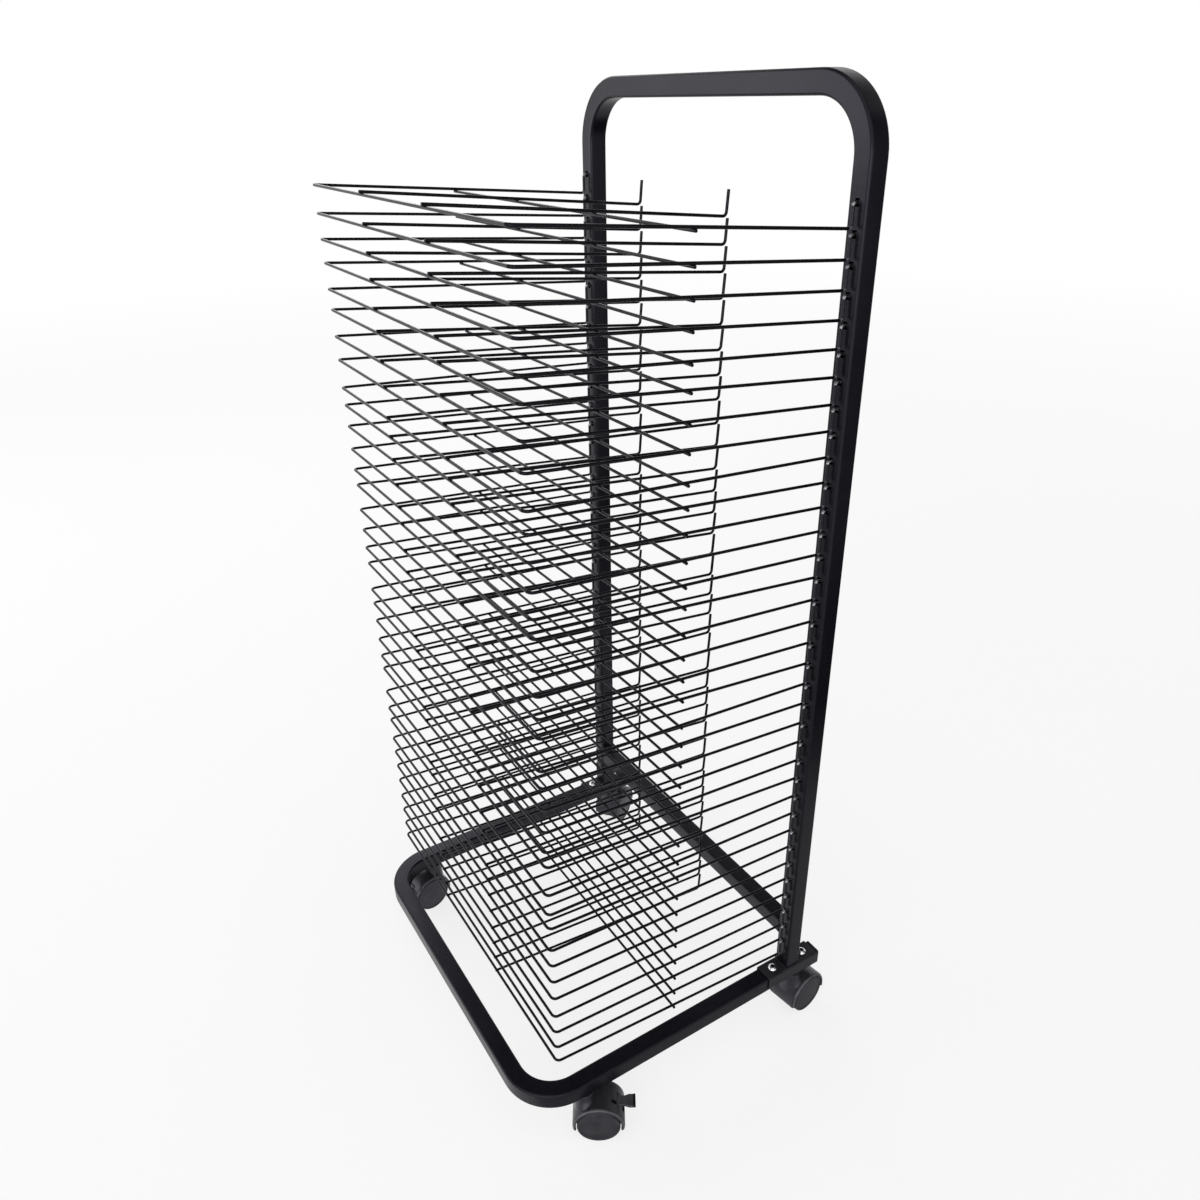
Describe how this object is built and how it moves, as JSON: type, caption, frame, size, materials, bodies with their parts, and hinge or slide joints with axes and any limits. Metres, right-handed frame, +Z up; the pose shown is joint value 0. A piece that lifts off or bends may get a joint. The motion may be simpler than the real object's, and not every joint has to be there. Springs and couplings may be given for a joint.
{
  "type": "mobile art drying rack",
  "caption": "Black tube frame on twin-wheel casters, with a push handle and a stack of hinged wire shelves that hold wet sheets flat while they dry.",
  "frame": {"origin": "on the floor under the middle of the rack's own box", "axes": "+Z up, -Y towards the open front where sheets go in, +X to the right seen from the front"},
  "size_m": [0.5162, 0.4324, 1.078],
  "materials": {
    "powder_coat": "fine satin black powder coat",
    "coated_wire": "satin black coat over welded wire",
    "hood_plastic": "moulded, fine grain",
    "wheel_plastic": "moulded, scuffed on the tread",
    "plug_plastic": "moulded",
    "zinc_screw": "bright zinc plate"
  },
  "bodies": {
    "frame": {"upright_frame": "powder_coat", "crossbar": "powder_coat", "base_frame": "powder_coat", "foot_plate_right": "powder_coat", "end_plug_right": "plug_plastic", "foot_screw_right_rear": "zinc_screw", "foot_screw_right_front": "zinc_screw", "foot_plate_left": "powder_coat", "end_plug_left": "plug_plastic", "foot_screw_left_rear": "zinc_screw", "foot_screw_left_front": "zinc_screw"},
    "shelf_01": {"shelf_01": "coated_wire"},
    "shelf_02": {"shelf_02": "coated_wire"},
    "shelf_03": {"shelf_03": "coated_wire"},
    "shelf_04": {"shelf_04": "coated_wire"},
    "shelf_05": {"shelf_05": "coated_wire"},
    "shelf_06": {"shelf_06": "coated_wire"},
    "shelf_07": {"shelf_07": "coated_wire"},
    "shelf_08": {"shelf_08": "coated_wire"},
    "shelf_09": {"shelf_09": "coated_wire"},
    "shelf_10": {"shelf_10": "coated_wire"},
    "shelf_11": {"shelf_11": "coated_wire"},
    "shelf_12": {"shelf_12": "coated_wire"},
    "shelf_13": {"shelf_13": "coated_wire"},
    "shelf_14": {"shelf_14": "coated_wire"},
    "shelf_15": {"shelf_15": "coated_wire"},
    "shelf_16": {"shelf_16": "coated_wire"},
    "shelf_17": {"shelf_17": "coated_wire"},
    "shelf_18": {"shelf_18": "coated_wire"},
    "shelf_19": {"shelf_19": "coated_wire"},
    "shelf_20": {"shelf_20": "coated_wire"},
    "shelf_21": {"shelf_21": "coated_wire"},
    "shelf_22": {"shelf_22": "coated_wire"},
    "shelf_23": {"shelf_23": "coated_wire"},
    "shelf_24": {"shelf_24": "coated_wire"},
    "shelf_25": {"shelf_25": "coated_wire"},
    "shelf_26": {"shelf_26": "coated_wire"},
    "shelf_27": {"shelf_27": "coated_wire"},
    "shelf_28": {"shelf_28": "coated_wire"},
    "shelf_29": {"shelf_29": "coated_wire"},
    "shelf_30": {"shelf_30": "coated_wire"},
    "shelf_31": {"shelf_31": "coated_wire"},
    "shelf_32": {"shelf_32": "coated_wire"},
    "shelf_33": {"shelf_33": "coated_wire"},
    "shelf_34": {"shelf_34": "coated_wire"},
    "shelf_35": {"shelf_35": "coated_wire"},
    "caster_front_right": {"caster_front_right_hood": "hood_plastic"},
    "wheel_front_right_a": {"caster_front_right_wheel_a": "wheel_plastic"},
    "wheel_front_right_b": {"caster_front_right_wheel_b": "wheel_plastic"},
    "brake_lever_front_right": {"brake_lever_front_right": "hood_plastic"},
    "caster_front_left": {"caster_front_left_hood": "hood_plastic"},
    "wheel_front_left_a": {"caster_front_left_wheel_a": "wheel_plastic"},
    "wheel_front_left_b": {"caster_front_left_wheel_b": "wheel_plastic"},
    "brake_lever_front_left": {"brake_lever_front_left": "hood_plastic"},
    "caster_rear_right": {"caster_rear_right_hood": "hood_plastic"},
    "wheel_rear_right_a": {"caster_rear_right_wheel_a": "wheel_plastic"},
    "wheel_rear_right_b": {"caster_rear_right_wheel_b": "wheel_plastic"},
    "caster_rear_left": {"caster_rear_left_hood": "hood_plastic"},
    "wheel_rear_left_a": {"caster_rear_left_wheel_a": "wheel_plastic"},
    "wheel_rear_left_b": {"caster_rear_left_wheel_b": "wheel_plastic"}
  },
  "joints": [
    {"name": "shelf_01_lift", "type": "hinge", "parent": "frame", "child": "shelf_01", "pos_m": [0, 0.1485, 0.9785], "axis": [-1, 0, 0], "range_deg": [0, 50]},
    {"name": "shelf_02_lift", "type": "hinge", "parent": "frame", "child": "shelf_02", "pos_m": [0, 0.1485, 0.9535], "axis": [-1, 0, 0], "range_deg": [0, 50]},
    {"name": "shelf_03_lift", "type": "hinge", "parent": "frame", "child": "shelf_03", "pos_m": [0, 0.1485, 0.9285], "axis": [-1, 0, 0], "range_deg": [0, 50]},
    {"name": "shelf_04_lift", "type": "hinge", "parent": "frame", "child": "shelf_04", "pos_m": [0, 0.1485, 0.9035], "axis": [-1, 0, 0], "range_deg": [0, 50]},
    {"name": "shelf_05_lift", "type": "hinge", "parent": "frame", "child": "shelf_05", "pos_m": [0, 0.1485, 0.8785], "axis": [-1, 0, 0], "range_deg": [0, 50]},
    {"name": "shelf_06_lift", "type": "hinge", "parent": "frame", "child": "shelf_06", "pos_m": [0, 0.1485, 0.8535], "axis": [-1, 0, 0], "range_deg": [0, 50]},
    {"name": "shelf_07_lift", "type": "hinge", "parent": "frame", "child": "shelf_07", "pos_m": [0, 0.1485, 0.8285], "axis": [-1, 0, 0], "range_deg": [0, 50]},
    {"name": "shelf_08_lift", "type": "hinge", "parent": "frame", "child": "shelf_08", "pos_m": [0, 0.1485, 0.8035], "axis": [-1, 0, 0], "range_deg": [0, 50]},
    {"name": "shelf_09_lift", "type": "hinge", "parent": "frame", "child": "shelf_09", "pos_m": [0, 0.1485, 0.7785], "axis": [-1, 0, 0], "range_deg": [0, 50]},
    {"name": "shelf_10_lift", "type": "hinge", "parent": "frame", "child": "shelf_10", "pos_m": [0, 0.1485, 0.7535], "axis": [-1, 0, 0], "range_deg": [0, 50]},
    {"name": "shelf_11_lift", "type": "hinge", "parent": "frame", "child": "shelf_11", "pos_m": [0, 0.1485, 0.7285], "axis": [-1, 0, 0], "range_deg": [0, 50]},
    {"name": "shelf_12_lift", "type": "hinge", "parent": "frame", "child": "shelf_12", "pos_m": [0, 0.1485, 0.7035], "axis": [-1, 0, 0], "range_deg": [0, 50]},
    {"name": "shelf_13_lift", "type": "hinge", "parent": "frame", "child": "shelf_13", "pos_m": [0, 0.1485, 0.6785], "axis": [-1, 0, 0], "range_deg": [0, 50]},
    {"name": "shelf_14_lift", "type": "hinge", "parent": "frame", "child": "shelf_14", "pos_m": [0, 0.1485, 0.6535], "axis": [-1, 0, 0], "range_deg": [0, 50]},
    {"name": "shelf_15_lift", "type": "hinge", "parent": "frame", "child": "shelf_15", "pos_m": [0, 0.1485, 0.6285], "axis": [-1, 0, 0], "range_deg": [0, 50]},
    {"name": "shelf_16_lift", "type": "hinge", "parent": "frame", "child": "shelf_16", "pos_m": [0, 0.1485, 0.6035], "axis": [-1, 0, 0], "range_deg": [0, 50]},
    {"name": "shelf_17_lift", "type": "hinge", "parent": "frame", "child": "shelf_17", "pos_m": [0, 0.1485, 0.5785], "axis": [-1, 0, 0], "range_deg": [0, 50]},
    {"name": "shelf_18_lift", "type": "hinge", "parent": "frame", "child": "shelf_18", "pos_m": [0, 0.1485, 0.5535], "axis": [-1, 0, 0], "range_deg": [0, 50]},
    {"name": "shelf_19_lift", "type": "hinge", "parent": "frame", "child": "shelf_19", "pos_m": [0, 0.1485, 0.5285], "axis": [-1, 0, 0], "range_deg": [0, 50]},
    {"name": "shelf_20_lift", "type": "hinge", "parent": "frame", "child": "shelf_20", "pos_m": [0, 0.1485, 0.5035], "axis": [-1, 0, 0], "range_deg": [0, 50]},
    {"name": "shelf_21_lift", "type": "hinge", "parent": "frame", "child": "shelf_21", "pos_m": [0, 0.1485, 0.4785], "axis": [-1, 0, 0], "range_deg": [0, 50]},
    {"name": "shelf_22_lift", "type": "hinge", "parent": "frame", "child": "shelf_22", "pos_m": [0, 0.1485, 0.4535], "axis": [-1, 0, 0], "range_deg": [0, 50]},
    {"name": "shelf_23_lift", "type": "hinge", "parent": "frame", "child": "shelf_23", "pos_m": [0, 0.1485, 0.4285], "axis": [-1, 0, 0], "range_deg": [0, 50]},
    {"name": "shelf_24_lift", "type": "hinge", "parent": "frame", "child": "shelf_24", "pos_m": [0, 0.1485, 0.4035], "axis": [-1, 0, 0], "range_deg": [0, 50]},
    {"name": "shelf_25_lift", "type": "hinge", "parent": "frame", "child": "shelf_25", "pos_m": [0, 0.1485, 0.3785], "axis": [-1, 0, 0], "range_deg": [0, 50]},
    {"name": "shelf_26_lift", "type": "hinge", "parent": "frame", "child": "shelf_26", "pos_m": [0, 0.1485, 0.3535], "axis": [-1, 0, 0], "range_deg": [0, 50]},
    {"name": "shelf_27_lift", "type": "hinge", "parent": "frame", "child": "shelf_27", "pos_m": [0, 0.1485, 0.3285], "axis": [-1, 0, 0], "range_deg": [0, 50]},
    {"name": "shelf_28_lift", "type": "hinge", "parent": "frame", "child": "shelf_28", "pos_m": [0, 0.1485, 0.3035], "axis": [-1, 0, 0], "range_deg": [0, 50]},
    {"name": "shelf_29_lift", "type": "hinge", "parent": "frame", "child": "shelf_29", "pos_m": [0, 0.1485, 0.2785], "axis": [-1, 0, 0], "range_deg": [0, 50]},
    {"name": "shelf_30_lift", "type": "hinge", "parent": "frame", "child": "shelf_30", "pos_m": [0, 0.1485, 0.2535], "axis": [-1, 0, 0], "range_deg": [0, 50]},
    {"name": "shelf_31_lift", "type": "hinge", "parent": "frame", "child": "shelf_31", "pos_m": [0, 0.1485, 0.2285], "axis": [-1, 0, 0], "range_deg": [0, 50]},
    {"name": "shelf_32_lift", "type": "hinge", "parent": "frame", "child": "shelf_32", "pos_m": [0, 0.1485, 0.2035], "axis": [-1, 0, 0], "range_deg": [0, 50]},
    {"name": "shelf_33_lift", "type": "hinge", "parent": "frame", "child": "shelf_33", "pos_m": [0, 0.1485, 0.1785], "axis": [-1, 0, 0], "range_deg": [0, 50]},
    {"name": "shelf_34_lift", "type": "hinge", "parent": "frame", "child": "shelf_34", "pos_m": [0, 0.1485, 0.1535], "axis": [-1, 0, 0], "range_deg": [0, 50]},
    {"name": "shelf_35_lift", "type": "hinge", "parent": "frame", "child": "shelf_35", "pos_m": [0, 0.1485, 0.1285], "axis": [-1, 0, 0], "range_deg": [0, 50]},
    {"name": "caster_front_right_swivel", "type": "hinge", "parent": "frame", "child": "caster_front_right", "pos_m": [0.216, -0.14275, 0.07], "axis": [0, 0, 1], "continuous": true},
    {"name": "wheel_front_right_a_spin", "type": "hinge", "parent": "caster_front_right", "child": "wheel_front_right_a", "pos_m": [0.22448, -0.12918, 0.025], "axis": [-0.848, 0.5299, 0], "continuous": true},
    {"name": "wheel_front_right_b_spin", "type": "hinge", "parent": "caster_front_right", "child": "wheel_front_right_b", "pos_m": [0.22448, -0.12918, 0.025], "axis": [-0.848, 0.5299, 0], "continuous": true},
    {"name": "brake_lever_front_right_release", "type": "hinge", "parent": "caster_front_right", "child": "brake_lever_front_right", "pos_m": [0.23666, -0.10969, 0.04428], "axis": [0.848, -0.5299, 0], "range_deg": [0, 12]},
    {"name": "caster_front_left_swivel", "type": "hinge", "parent": "frame", "child": "caster_front_left", "pos_m": [-0.216, -0.14275, 0.07], "axis": [0, 0, 1], "continuous": true},
    {"name": "wheel_front_left_a_spin", "type": "hinge", "parent": "caster_front_left", "child": "wheel_front_left_a", "pos_m": [-0.2135, -0.15855, 0.025], "axis": [0.9877, 0.1564, 0], "continuous": true},
    {"name": "wheel_front_left_b_spin", "type": "hinge", "parent": "caster_front_left", "child": "wheel_front_left_b", "pos_m": [-0.2135, -0.15855, 0.025], "axis": [0.9877, 0.1564, 0], "continuous": true},
    {"name": "brake_lever_front_left_release", "type": "hinge", "parent": "caster_front_left", "child": "brake_lever_front_left", "pos_m": [-0.2099, -0.18125, 0.04428], "axis": [-0.9877, -0.1564, 0], "range_deg": [0, 12]},
    {"name": "caster_rear_right_swivel", "type": "hinge", "parent": "frame", "child": "caster_rear_right", "pos_m": [0.216, 0.16625, 0.07], "axis": [0, 0, 1], "continuous": true},
    {"name": "wheel_rear_right_a_spin", "type": "hinge", "parent": "caster_rear_right", "child": "wheel_rear_right_a", "pos_m": [0.21377, 0.18209, 0.025], "axis": [-0.9903, -0.1392, 0], "continuous": true},
    {"name": "wheel_rear_right_b_spin", "type": "hinge", "parent": "caster_rear_right", "child": "wheel_rear_right_b", "pos_m": [0.21377, 0.18209, 0.025], "axis": [-0.9903, -0.1392, 0], "continuous": true},
    {"name": "caster_rear_left_swivel", "type": "hinge", "parent": "frame", "child": "caster_rear_left", "pos_m": [-0.216, 0.16625, 0.07], "axis": [0, 0, 1], "continuous": true},
    {"name": "wheel_rear_left_a_spin", "type": "hinge", "parent": "caster_rear_left", "child": "wheel_rear_left_a", "pos_m": [-0.22448, 0.17982, 0.025], "axis": [-0.848, -0.5299, 0], "continuous": true},
    {"name": "wheel_rear_left_b_spin", "type": "hinge", "parent": "caster_rear_left", "child": "wheel_rear_left_b", "pos_m": [-0.22448, 0.17982, 0.025], "axis": [-0.848, -0.5299, 0], "continuous": true}
  ],
  "couplings": [
    {"joint": "shelf_01_lift", "follows": "shelf_35_lift", "ratio": 1},
    {"joint": "shelf_02_lift", "follows": "shelf_35_lift", "ratio": 1},
    {"joint": "shelf_03_lift", "follows": "shelf_35_lift", "ratio": 1},
    {"joint": "shelf_04_lift", "follows": "shelf_35_lift", "ratio": 1},
    {"joint": "shelf_05_lift", "follows": "shelf_35_lift", "ratio": 1},
    {"joint": "shelf_06_lift", "follows": "shelf_35_lift", "ratio": 1},
    {"joint": "shelf_07_lift", "follows": "shelf_35_lift", "ratio": 1},
    {"joint": "shelf_08_lift", "follows": "shelf_35_lift", "ratio": 1},
    {"joint": "shelf_09_lift", "follows": "shelf_35_lift", "ratio": 1},
    {"joint": "shelf_10_lift", "follows": "shelf_35_lift", "ratio": 1},
    {"joint": "shelf_11_lift", "follows": "shelf_35_lift", "ratio": 1},
    {"joint": "shelf_12_lift", "follows": "shelf_35_lift", "ratio": 1},
    {"joint": "shelf_13_lift", "follows": "shelf_35_lift", "ratio": 1},
    {"joint": "shelf_14_lift", "follows": "shelf_35_lift", "ratio": 1},
    {"joint": "shelf_15_lift", "follows": "shelf_35_lift", "ratio": 1},
    {"joint": "shelf_16_lift", "follows": "shelf_35_lift", "ratio": 1},
    {"joint": "shelf_17_lift", "follows": "shelf_35_lift", "ratio": 1},
    {"joint": "shelf_18_lift", "follows": "shelf_35_lift", "ratio": 1},
    {"joint": "shelf_19_lift", "follows": "shelf_35_lift", "ratio": 1},
    {"joint": "shelf_20_lift", "follows": "shelf_35_lift", "ratio": 1},
    {"joint": "shelf_21_lift", "follows": "shelf_35_lift", "ratio": 1},
    {"joint": "shelf_22_lift", "follows": "shelf_35_lift", "ratio": 1},
    {"joint": "shelf_23_lift", "follows": "shelf_35_lift", "ratio": 1},
    {"joint": "shelf_24_lift", "follows": "shelf_35_lift", "ratio": 1},
    {"joint": "shelf_25_lift", "follows": "shelf_35_lift", "ratio": 1},
    {"joint": "shelf_26_lift", "follows": "shelf_35_lift", "ratio": 1},
    {"joint": "shelf_27_lift", "follows": "shelf_35_lift", "ratio": 1},
    {"joint": "shelf_28_lift", "follows": "shelf_35_lift", "ratio": 1},
    {"joint": "shelf_29_lift", "follows": "shelf_35_lift", "ratio": 1},
    {"joint": "shelf_30_lift", "follows": "shelf_35_lift", "ratio": 1},
    {"joint": "shelf_31_lift", "follows": "shelf_35_lift", "ratio": 1},
    {"joint": "shelf_32_lift", "follows": "shelf_35_lift", "ratio": 1},
    {"joint": "shelf_33_lift", "follows": "shelf_35_lift", "ratio": 1},
    {"joint": "shelf_34_lift", "follows": "shelf_35_lift", "ratio": 1}
  ]
}
